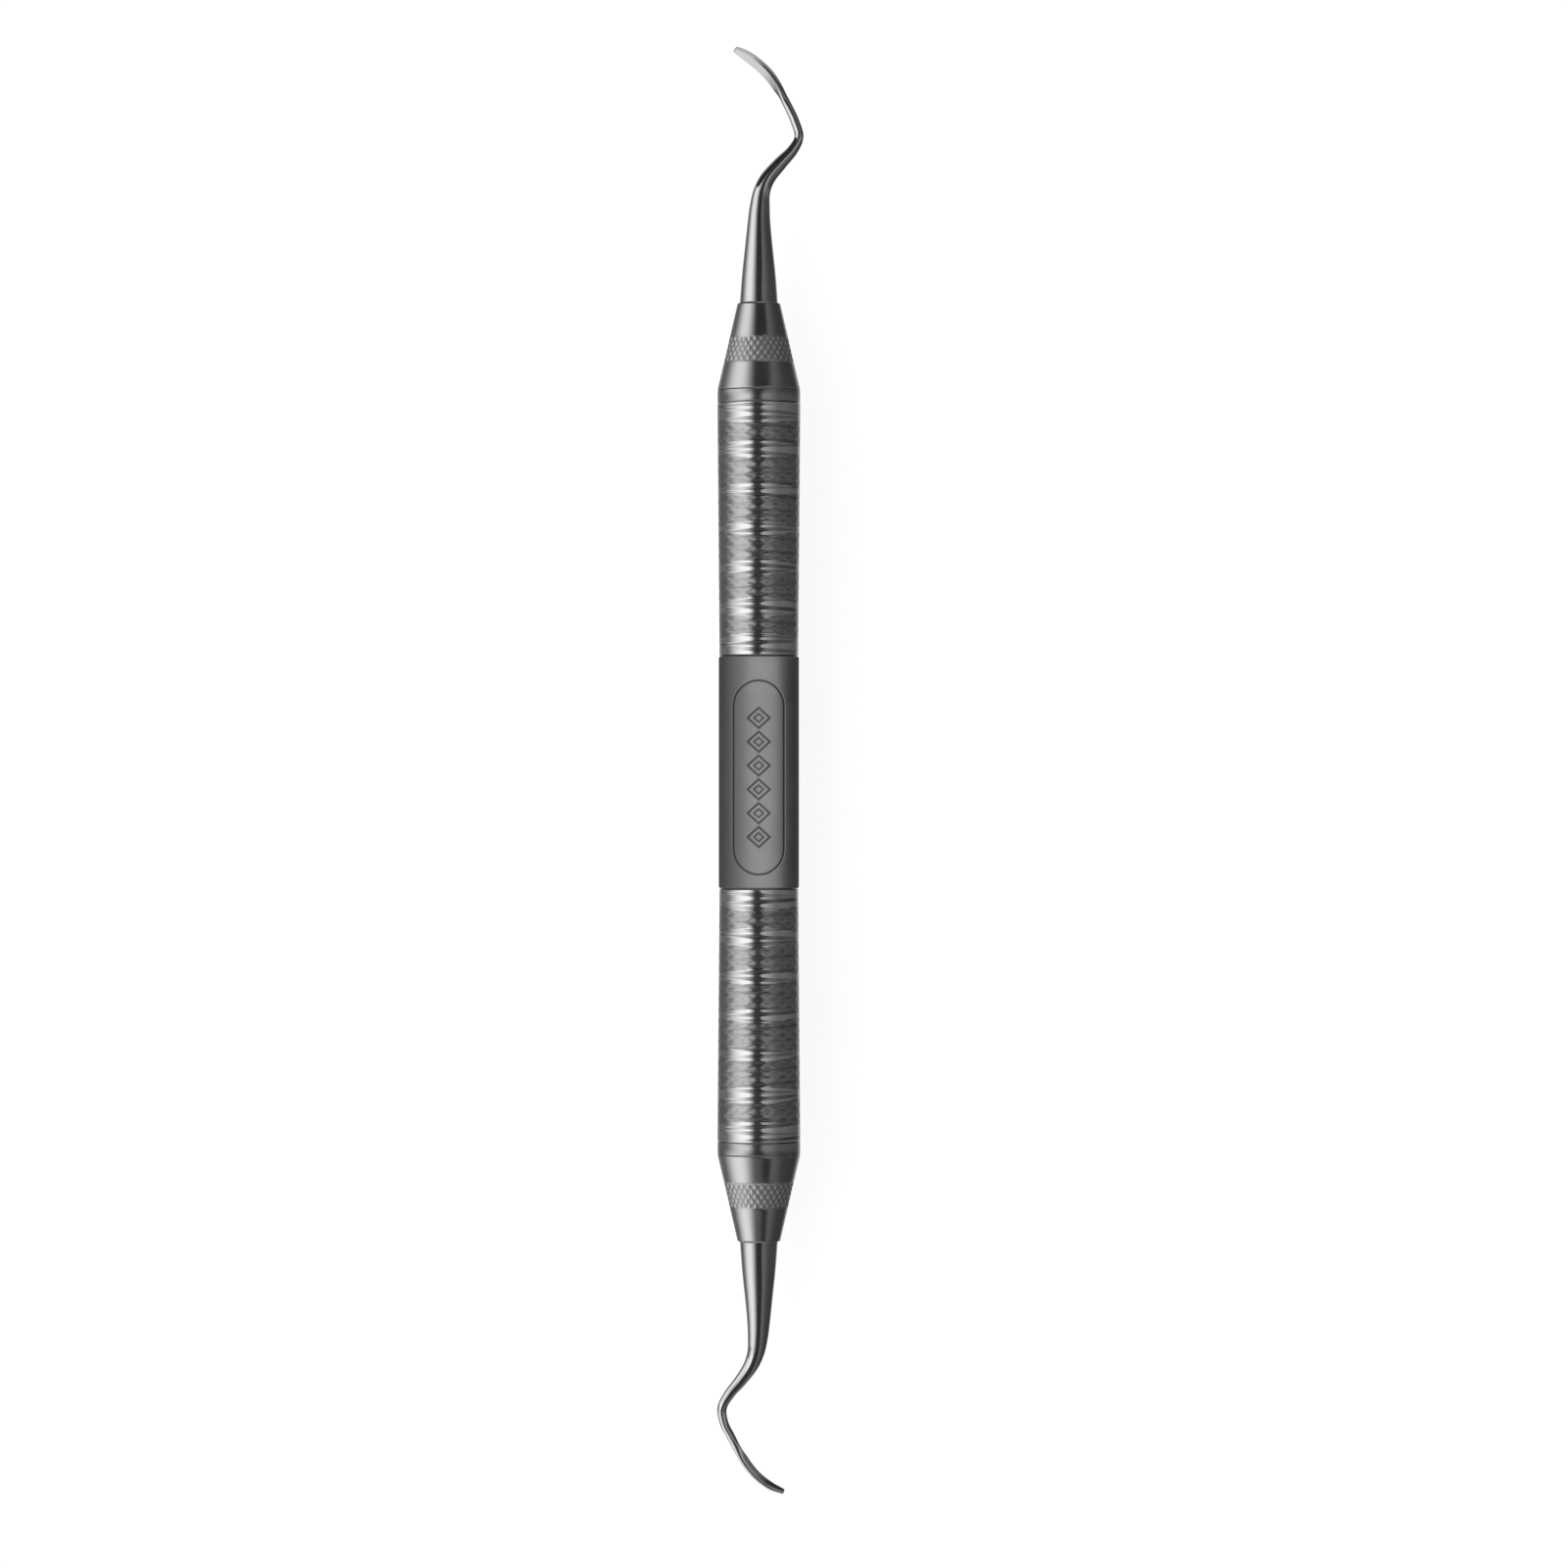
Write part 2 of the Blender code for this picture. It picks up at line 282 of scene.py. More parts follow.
def calc(tree, operation, first, second=0.0):
    node = tree.nodes.new("ShaderNodeMath")
    node.operation = operation
    feed(tree, node.inputs[0], first)
    feed(tree, node.inputs[1], second)
    return node.outputs[0]


def product(tree, *factors):
    total = factors[0]
    for factor in factors[1:]:
        total = calc(tree, "MULTIPLY", factor, total)
    return total


def ramp(tree, value, low, high, start=0.0, end=1.0):
    """Goes smoothly from start to end as the value goes from low to high, and stays there on either side."""
    node = tree.nodes.new("ShaderNodeMapRange")
    node.interpolation_type = "SMOOTHSTEP"
    tree.links.new(value, node.inputs["Value"])
    node.inputs["From Min"].default_value = low
    node.inputs["From Max"].default_value = high
    node.inputs["To Min"].default_value = start
    node.inputs["To Max"].default_value = end
    return node.outputs["Result"]


def stretched_noise(tree, scale, detail=2.0):
    """Noise over the object's own coordinates, with its own scale along x, y and z, per metre."""
    place = tree.nodes.new("ShaderNodeTexCoord").outputs["Object"]
    mapping = tree.nodes.new("ShaderNodeMapping")
    mapping.inputs["Scale"].default_value = scale
    tree.links.new(place, mapping.inputs["Vector"])
    noise = tree.nodes.new("ShaderNodeTexNoise")
    noise.inputs["Scale"].default_value = 1.0
    noise.inputs["Detail"].default_value = detail
    tree.links.new(mapping.outputs["Vector"], noise.inputs["Vector"])
    return noise.outputs["Fac"]


def attribute(tree, key):
    node = tree.nodes.new("ShaderNodeAttribute")
    node.attribute_name = key
    return node.outputs["Fac"]


def grey(value, blue=0.0):
    """A grey with a little blue."""
    return (value, value, value + blue, 1)


def mixed(tree, amount, low, high):
    """A colour between two, by an amount from 0 to 1."""
    node = tree.nodes.new("ShaderNodeMix")
    node.data_type = "RGBA"
    tree.links.new(amount, node.inputs["Factor"])
    feed(tree, node.inputs["A"], low)
    feed(tree, node.inputs["B"], high)
    return node.outputs["Result"]


def scaled(tree, colour, amount):
    """A colour times an amount."""
    node = tree.nodes.new("ShaderNodeVectorMath")
    node.operation = "SCALE"
    tree.links.new(colour, node.inputs[0])
    tree.links.new(amount, node.inputs["Scale"])
    return node.outputs[0]


def bump(tree, layers):
    """Bump from (height, depth in metres) layers, one on the other."""
    normal = None
    for height, depth in layers:
        node = tree.nodes.new("ShaderNodeBump")
        node.inputs["Strength"].default_value = 1.0
        node.inputs["Distance"].default_value = depth
        tree.links.new(height, node.inputs["Height"])
        if normal:
            tree.links.new(normal, node.inputs["Normal"])
        normal = node.outputs["Normal"]
    return normal


def new_material(name):
    material = bpy.data.materials.new(name)
    material.use_nodes = True
    return material, material.node_tree, material.node_tree.nodes["Principled BSDF"]


def finish_material(tree, shader, colour, roughness, normal, metallic=1.0):
    tree.links.new(colour, shader.inputs["Base Color"])
    tree.links.new(roughness, shader.inputs["Roughness"])
    tree.links.new(normal, shader.inputs["Normal"])
    shader.inputs["Metallic"].default_value = metallic


def polished_steel():
    """Mirror-polished stainless: faint turning lines, wipe marks, duller where bands and rings are cut, and
    painted shade that darkens the colour in the bands and more in the ring grooves.
    """
    material, tree, shader = new_material("polished_steel_finish")
    blotch = stretched_noise(tree, (180, 260, 260), 3)
    lines = stretched_noise(tree, (14000, 120, 120), 2)
    cut = attribute(tree, "cut")
    line = attribute(tree, "line")
    # painted shade: the colour is darkened to 0.66 in the cut bands of diamonds and to half in the ring
    # grooves
    shade = product(tree, ramp(tree, cut, 0, 1, 1.0, 0.66), ramp(tree, line, 0, 1, 1.0, 0.50))
    colour = scaled(tree, mixed(tree, blotch, grey(0.70, 0.005), grey(0.76, 0.005)), shade)
    rough = ramp(tree, blotch, 0.3, 0.75, 0.045, 0.10)
    for mark, extra in ((cut, 0.15), (line, 0.25)):
        rough = calc(tree, "ADD", rough, calc(tree, "MULTIPLY", mark, extra))
    normal = bump(tree, [(lines, 0.5e-6), (blotch, 4e-6)])
    finish_material(tree, shader, colour, rough, normal)
    return material


def shank_steel():
    """Polished stainless with marks that run along the shank, and duller on the ground face of the blade."""
    material, tree, shader = new_material("shank_steel_finish")
    blotch = stretched_noise(tree, (250, 420, 420), 3)
    lines = stretched_noise(tree, (260, 9000, 9000), 2)
    ground = attribute(tree, "cut")
    colour = mixed(tree, blotch, grey(0.70, 0.005), grey(0.76, 0.005))
    rough = calc(tree, "ADD", ramp(tree, blotch, 0.3, 0.75, 0.06, 0.11), calc(tree, "MULTIPLY", ground, 0.16))
    normal = bump(tree, [(lines, 0.8e-6), (blotch, 5e-6)])
    finish_material(tree, shader, colour, rough, normal)
    return material


def brushed_round(tree, shader, amount):
    """Brushing that runs round the handle, so that light spreads along it."""
    tangent = tree.nodes.new("ShaderNodeTangent")
    tangent.direction_type = "RADIAL"
    tangent.axis = "X"
    tree.links.new(tangent.outputs["Tangent"], shader.inputs["Tangent"])
    shader.inputs["Anisotropic"].default_value = amount
    shader.inputs["Anisotropic Rotation"].default_value = 0.25


def satin_steel():
    """Satin stainless, brushed round the handle: a fine grain, and dark in the engraved lines."""
    material, tree, shader = new_material("satin_steel_finish")
    grain = stretched_noise(tree, (15000, 15000, 15000), 3)
    cloud = stretched_noise(tree, (260, 260, 260), 3)
    engraved = attribute(tree, "cut")
    plain = mixed(tree, cloud, grey(0.155, 0.002), grey(0.18, 0.002))
    rough = ramp(tree, cloud, 0.3, 0.7, 0.58, 0.64)
    normal = bump(tree, [(grain, 3e-6), (cloud, 6e-6)])
    brushed_round(tree, shader, 0.35)
    finish_material(tree, shader, mixed(tree, engraved, plain, grey(0.055)), rough, normal)
    return material


def bright_satin_steel():
    """Fine-turned stainless: close rings left by the tool, a satin sheen and a duller knurl, with a painted
    highlight that makes the knurl paler, and darker where the cut mark is set, which on the cone is painted
    shade.
    """
    material, tree, shader = new_material("bright_satin_steel_finish")
    cloud = stretched_noise(tree, (300, 300, 300), 3)
    lines = stretched_noise(tree, (8000, 160, 160), 2)
    cut = attribute(tree, "cut")
    knurled = attribute(tree, "knurled")
    # darker where cut is set: on the cone this is painted shade in the knurl's hollows and on its bevelled
    # end
    colour = mixed(tree, cut, mixed(tree, cloud, grey(0.60, 0.005), grey(0.66, 0.005)), grey(0.32))
    rough = ramp(tree, cloud, 0.3, 0.7, 0.17, 0.23)
    rough = calc(tree, "ADD", rough, calc(tree, "MULTIPLY", knurled, 0.32))
    # painted highlight: the knurled band is made up to 1.42 times paler
    colour = scaled(tree, colour, ramp(tree, knurled, 0, 1, 1.0, 1.42))
    normal = bump(tree, [(lines, 0.5e-6), (cloud, 4e-6)])
    brushed_round(tree, shader, 0.3)
    finish_material(tree, shader, colour, rough, normal)
    return material


def seal_rubber():
    """Matte moulded rubber with a faint bloom."""
    material, tree, shader = new_material("seal_rubber_finish")
    grain = stretched_noise(tree, (9000, 9000, 9000), 3)
    bloom = stretched_noise(tree, (900, 900, 900), 2)
    colour = mixed(tree, bloom, grey(0.018), grey(0.045))
    rough = ramp(tree, bloom, 0.3, 0.7, 0.50, 0.68)
    normal = bump(tree, [(grain, 5e-6)])
    finish_material(tree, shader, colour, rough, normal, metallic=0.0)
    return material


def flag_cloth():
    """Black studio cloth."""
    material, tree, shader = new_material("flag_cloth")
    weave = stretched_noise(tree, (2000, 2000, 2000), 2)
    colour = mixed(tree, weave, grey(0.010), grey(0.022))
    rough = ramp(tree, weave, 0.3, 0.7, 0.8, 0.95)
    finish_material(tree, shader, colour, rough, bump(tree, [(weave, 1e-4)]), metallic=0.0)
    return material


def floor_paint():
    """White, lit from within just enough that the floor stays white under the soft light."""
    material, tree, shader = new_material("floor_white")
    shader.inputs["Base Color"].default_value = grey(0.60)
    shader.inputs["Roughness"].default_value = 0.9
    shader.inputs["Specular IOR Level"].default_value = 0.0
    shader.inputs["Emission Color"].default_value = grey(1)
    shader.inputs["Emission Strength"].default_value = 0.86
    return material


# ---------------------------------------------------------------- the handle


def engraved_line(distance, flat=0.6, edge=1.5):
    """1 in the middle of an engraved line and 0 outside it. flat and edge are where its sides begin and end,
    in half widths of the line."""
    return 1 - smooth_step(distance, LINE_HALF * flat, LINE_HALF * edge)


def border_marks(along, across):
    """How deep the engraving is, from 0 to 1, at points along the handle and across it."""
    straight = BORDER_HALF - BORDER_R
    from_end = np.maximum(np.abs(along - BORDER_CENTRE) - straight, 0)
    racetrack = np.abs(np.hypot(from_end, across) - BORDER_R)
    depth = engraved_line(racetrack)
    for k in range(LOZENGES):
        centre = BORDER_CENTRE + (k - (LOZENGES - 1) / 2) * LOZENGE_SPACING
        shape = np.abs(along - centre) / LOZENGE_LENGTH + np.abs(across) / LOZENGE_WIDTH
        scale = LOZENGE_LENGTH * LOZENGE_WIDTH / math.hypot(LOZENGE_LENGTH, LOZENGE_WIDTH)
        outline = np.abs(shape - 1) * scale
        inner = np.abs(shape - INNER_LOZENGE) * scale
        depth = np.maximum(depth, engraved_line(outline))
        depth = np.maximum(depth, engraved_line(inner, 0.5, 1.2))
    return depth


def centre_barrel():
    fine = BARREL_FINE_HALF
    fine_columns, plain_columns = BARREL_COLUMNS
    phi = np.concatenate(
        [
            np.linspace(-fine, fine, fine_columns),
            np.linspace(fine, 2 * math.pi - fine, plain_columns)[1:-1],
        ]
    )
    inside = BORDER_HALF + 1.0 * MM
    middle = np.linspace(BORDER_CENTRE - inside, BORDER_CENTRE + inside, BARREL_ROWS)
    shoulder = BARREL_HALF
    end = BARREL_HIGH.x
    left = [(-end, BARREL_BORE_R), (-end, SPIGOT_R), (-shoulder, SPIGOT_R), (-shoulder, BARREL_R - EDGE)]
    left += [(-shoulder + EDGE, BARREL_R)]
    right = [(-x, r) for x, r in reversed(left)]
    along = np.array([x for x, _ in left] + list(middle) + [x for x, _ in right])
    radius = np.array([r for _, r in left] + [BARREL_R] * len(middle) + [r for _, r in right])
    across = BARREL_R * np.sin(phi)
    depth = border_marks(along[:, None], across[None, :]) * (np.cos(phi) > 0.5)
    depth[: len(left)] = 0
    depth[-len(right) :] = 0
    radius = radius[:, None] - ENGRAVING_DEPTH * depth
    return revolved("barrel", along, radius, phi, loop=True, marks={"cut": depth})


def grip_relief(from_end, phi):
    """How deep the grip is cut at points from its outer end and round it, and how much of each point is cut
    band and ring groove. Each ring leans a little, the next one the other way, and fades on one side."""
    side = np.sin(phi) ** 2
    band = np.zeros(np.broadcast(from_end, phi).shape)
    for k, width in enumerate(BAND_WIDTHS):
        half = width * MM / 2 + BAND_FLARE * side
        distance = np.abs(from_end - BAND_FIRST - k * BAND_SPACING)
        band = np.maximum(band, 1 - smooth_step(distance, half - BAND_EDGE[0], half + BAND_EDGE[1]))
    turn = phi * DIAMONDS_ROUND
    place = 2 * math.pi * from_end / DIAMOND_LENGTH
    diamonds = DIAMOND_DEPTH * (2 - np.cos(place + turn) - np.cos(place - turn)) / 4
    rings = np.zeros_like(band)
    plain = 1 - RING_LOSS_IN_BAND * band
    count = int((GRIP_HIGH.x - GRIP_LOW.x - RING_FREE_END) / RING_SPACING)
    for k in range(-2, count):
        lean = 1 if k % 2 else -1
        middle = BAND_FIRST + (k - 2) * RING_SPACING + lean * RING_TILT * np.sin(phi)
        round_it = 0.6 + 0.4 * np.cos(phi - lean * RING_FADE)
        along_it = 0.70 + 0.30 * math.sin(2.4 * k)
        rings = np.maximum(rings, round_it * plain * along_it * groove(from_end - middle, RING_HALF))
    return RING_DEPTH * rings + band * diamonds, band, rings


def grip_tube(side_name, side):
    phi = round_angles(GRIP_COLUMNS)
    start, end = GRIP_LOW.x, GRIP_HIGH.x
    middle = np.linspace(start + EDGE, end - EDGE, GRIP_ROWS)
    low = [(start, SPIGOT_R + 0.05 * MM), (start, GRIP_INNER_R - EDGE)]
    high = [(end, GRIP_R - EDGE), (end, SPIGOT_R + 0.05 * MM)]
    along = np.array([x for x, _ in low] + list(middle) + [x for x, _ in high])
    share = (middle - middle[0]) / (middle[-1] - middle[0])
    outer = GRIP_INNER_R + (GRIP_R - GRIP_INNER_R) * share
    depth, band, rings = grip_relief((end - middle)[:, None], phi[None, :])
    edge = smooth_step(middle, start + EDGE, start + PLAIN_EDGE)
    edge = edge * (1 - smooth_step(middle, end - PLAIN_EDGE, end - EDGE))
    depth = depth * edge[:, None]
    radius = np.zeros((len(along), len(phi)))
    cut = np.zeros_like(radius)
    radius[:2] = np.array([r for _, r in low])[:, None]
    radius[2:-2] = outer[:, None] - depth
    radius[-2:] = np.array([r for _, r in high])[:, None]
    cut[2:-2] = band
    line = np.zeros_like(radius)
    line[2:-2] = rings * edge[:, None]
    # cut and line carry painted shade: the polished steel darkens the bands and the ring grooves by them
    marks = {"cut": cut, "line": line}
    return revolved(side_name + "_grip", along, radius, phi, side, loop=True, marks=marks)


# ---------------------------------------------------------------- the ends


def thread_radius(along, phi, crest_r, root_r):
    """The radius of a right-hand 60 degree thread at points along the axis and round it."""
    turn = wave_distance(along / PITCH - phi / (2 * math.pi)) * 2
    share = np.clip((turn - 0.10) / 0.78, 0, 1)
    return crest_r + (root_r - crest_r) * share


def rounded_edge(along, radius, facing):
    """Points round an outer edge, from the end face outwards. facing is -1 if the face looks back to the
    middle of the handle, and 1 if it looks away from it."""
    return [
        (along - facing * FINE_EDGE * (1 - math.cos(turn)), radius - FINE_EDGE * (1 - math.sin(turn)))
        for turn in np.linspace(0, math.pi / 2, 5)
    ]


def end_plug(side_name, side):
    phi = round_angles(PLUG_COLUMNS)
    face, inner = PLUG_HIGH.x, PLUG_LOW.x
    flange = GRIP_HIGH.x + 0.05 * MM
    seat = face - SEAT_DEPTH
    outside = [
        (inner, SPIGOT_R - EDGE),
        (inner + EDGE, SPIGOT_R),
        (flange, SPIGOT_R),
        *rounded_edge(flange, FLANGE_R, -1),
        *reversed(rounded_edge(face, FLANGE_R, 1)),
        (face, SEAT_R + 0.08 * MM),
        (face - 0.08 * MM, SEAT_R),
        (seat, SEAT_R),
        (seat, SOCKET_MAJOR_R + 0.05 * MM),
    ]
    bore = np.linspace(seat - 0.1 * MM, inner + 0.2 * MM, SOCKET_ROWS)
    along = np.array([x for x, _ in outside] + list(bore) + [inner])
    radius = np.zeros((len(along), len(phi)))
    radius[: len(outside)] = np.array([r for _, r in outside])[:, None]
    radius[len(outside) : -1] = thread_radius(bore[:, None], phi[None, :], SOCKET_MAJOR_R, SOCKET_MINOR_R)
    radius[-1] = SOCKET_MAJOR_R
    return revolved(side_name + "_plug", along, radius, phi, side, loop=True, marks={"cut": 0.30})


def seal_ring(side_name, side):
    minor = (SEAL_HIGH.x - SEAL_LOW.x) / 2
    major = (SEAL_HIGH.z - SEAL_LOW.z) / 2 - minor
    centre = (SEAL_LOW.x + SEAL_HIGH.x) / 2
    turn = round_angles(SEAL_SIDES)
    # the mould's parting line, on the inside and the outside
    flash = FLASH_HEIGHT * groove(np.cos(turn), 0.12)
    along = centre - minor * np.cos(turn)
    radius = major + (minor - FLASH_HEIGHT + flash) * np.sin(turn)
    return revolved(side_name + "_seal", along, radius, round_angles(SEAL_COLUMNS), side, loop=True)


def cone(side_name, side):
    """The stud, the base, the knurled cone and its bevelled end, as one turned surface with a bore."""
    phi = round_angles(CONE_COLUMNS)
    stud_end = CONE_BASE - STUD_LENGTH
    neck = CONE_BASE - NECK_LENGTH
    thread = np.linspace(stud_end + 0.3 * MM, neck, STUD_ROWS)
    slope_end = CONE_HIGH.x - CONE_BEVEL
    slope_start = CONE_BASE + FINE_EDGE
    knurl_margin = 0.3 * MM
    slope = np.unique(
        np.concatenate(
            [
                np.linspace(slope_start, KNURL_START - knurl_margin, CONE_ROWS[0]),
                np.linspace(KNURL_START - knurl_margin, KNURL_END + knurl_margin, CONE_ROWS[1]),
                np.linspace(KNURL_END + knurl_margin, slope_end, CONE_ROWS[2]),
            ]
        )
    )
    bore_r = TANG_R + 0.06 * MM
    before = [(stud_end, STUD_CORE_R - 0.3 * MM)]
    between = [(neck + 0.05 * MM, STUD_CORE_R), (CONE_BASE, STUD_CORE_R)]
    between += rounded_edge(CONE_BASE, CONE_R, -1)[:-1]
    after = [(CONE_HIGH.x, CONE_END_R - CONE_BEVEL), (CONE_HIGH.x, bore_r), (CONE_BASE + 1.5 * MM, bore_r)]
    along = np.array(
        [x for x, _ in before] + [*thread] + [x for x, _ in between] + [*slope] + [x for x, _ in after]
    )
    on_thread = slice(len(before), len(before) + len(thread))
    on_base = slice(on_thread.stop, on_thread.stop + len(between))
    on_slope = slice(on_base.stop, on_base.stop + len(slope))

    run_in = smooth_step(thread, stud_end + 0.3 * MM, stud_end + 0.7 * MM)
    run_out = 1 - smooth_step(thread, neck - 0.5 * MM, neck)
    full = thread_radius(thread[:, None], phi[None, :], STUD_CREST_R, STUD_CORE_R)

    plain = CONE_R + (CONE_END_R - CONE_R) * (slope - slope_start) / (slope_end - slope_start)
    step = (slope / (2 * KNURL_ROW))[:, None]
    turn = (phi / (2 * math.pi) * KNURLS_ROUND)[None, :]
    crest = np.abs(np.sin(math.pi * (step + turn)) * np.sin(math.pi * (step - turn))) ** KNURL_SHARPNESS
    in_band = smooth_step(slope, KNURL_START - KNURL_FADE, KNURL_START + KNURL_FADE)
    in_band = in_band * (1 - smooth_step(slope, KNURL_END - KNURL_FADE, KNURL_END + KNURL_FADE))
    knurl = (1 - crest) * in_band[:, None]

    radius = np.zeros((len(along), len(phi)))
    radius[: len(before)] = before[0][1]
    radius[on_thread] = STUD_CORE_R + (full - STUD_CORE_R) * (run_in * run_out)[:, None]
    radius[on_base] = np.array([r for _, r in between])[:, None]
    radius[on_slope] = plain[:, None] - KNURL_DEPTH * knurl
    radius[on_slope.stop :] = np.array([r for _, r in after])[:, None]
    cut = np.zeros_like(radius)
    # painted shade: the knurl's hollows are marked to be darkened
    cut[on_slope] = knurl
    # painted shade: the slope's last row, the bevelled end, its face and the bore are darkened
    cut[on_slope.stop - 1 :] = 1
    knurled = np.zeros_like(radius)
    # knurled makes the band rougher in the material, and also paler, a painted highlight
    knurled[on_slope] = in_band[:, None]
    marks = {"cut": cut, "knurled": knurled}
    return revolved(side_name + "_cone_body", along, radius, phi, side, caps=(True, True), marks=marks)


def smooth_path(points, per_span):
    """Catmull-Rom through the points, as (spans so far, vector) pairs."""
    rows = [Vector(p) for p in points]
    rows = [2 * rows[0] - rows[1], *rows, 2 * rows[-1] - rows[-2]]
    path = []
    for i in range(1, len(rows) - 2):
        a, b, c, d = rows[i - 1 : i + 3]
        for k in range(per_span):
            t = k / per_span
            inner = 2 * b + (c - a) * t + (2 * a - 5 * b + 4 * c - d) * t**2 + (3 * b - a - 3 * c + d) * t**3
            path.append((i - 1 + t, inner / 2))
    path.append((len(points) - 1, rows[-2]))
    return path


def section(half_width, blade):
    """One section as (towards the back, across, on the ground face): a circle where blade is 0, the blade's D
    where it is 1."""
    angle = round_angles(SHANK_SIDES)
    face = half_width * FACE_DEPTH
    depth = half_width * (FACE_DEPTH + BACK_DEPTH)
    across = half_width * np.sin(angle)
    curette = depth * np.maximum(np.cos(angle), 0) - face
    outward = half_width * np.cos(angle) * (1 - blade) + curette * blade
    twist = FACE_OFFSET * blade
    return (
        outward * math.cos(twist) - across * math.sin(twist),
        outward * math.sin(twist) + across * math.cos(twist),
        (np.cos(angle) < 0.02) * blade,
    )


def scaler_tip(side_name, side, hook):
    """Tang, tapered shank, two bends and blade, lofted along one line. The left tip is the right one's mirror
    twin."""
    path = smooth_path(STRAIGHT + hook, RINGS_PER_SPAN)
    centres = np.array([(p.y * MM, p.x * MM * HOOK_SCALE) for _, p in path])
    rings = []
    start = CONE_HIGH.x + 0.05 * MM
    shoulder = STRAIGHT[0][2] * MM
    for along, radius in (
        (CONE_BASE + 1.6 * MM, TANG_R * 0.85),
        (CONE_BASE + 1.9 * MM, TANG_R),
        (start, TANG_R),
        (start, shoulder - 0.06 * MM),
    ):
        rings.append(((along, 0.0), (0.0, 1.0), section(radius, 0)))
    for i, (value, point) in enumerate(path):
        ahead = centres[min(i + 1, len(centres) - 1)] - centres[max(i - 1, 0)]
        ahead = ahead / np.linalg.norm(ahead)
        back = (-ahead[1], ahead[0])
        blade = float(smooth_step(value, BLADE_FROM, BLADE_FULL))
        place = centres[i] if i else centres[0] + (0.06 * MM, 0)
        rings.append((place, back, section(point.z * MM, blade)))
    tangent = (centres[-1] - centres[-2]) / np.linalg.norm(centres[-1] - centres[-2])
    half_width = path[-1][1].z * MM
    for k in range(1, TOE_RINGS):
        angle = math.pi / 2 * k / TOE_RINGS
        centre = centres[-1] + tangent * TOE_LENGTH * math.sin(angle)
        rings.append((centre, back, section(half_width * math.cos(angle), 1)))
    points = np.zeros((len(rings), SHANK_SIDES, 3))
    ground = np.zeros((len(rings), SHANK_SIDES))
    for i, (centre, back, (outward, across, flat)) in enumerate(rings):
        points[i, :, 0] = side * (centre[0] + back[0] * outward)
        points[i, :, 1] = -side * (centre[1] + back[1] * outward)
        points[i, :, 2] = AXIS_Z - side * across
        ground[i] = flat
    # the left tip's rings run the other way round, so they are turned to keep its faces outwards
    if side < 0:
        points = points[:, ::-1]
        ground = ground[:, ::-1]
    return grid_object(side_name + "_tip_steel", points, caps=(True, True), marks={"cut": ground})


# ---------------------------------------------------------------- light, floor and camera


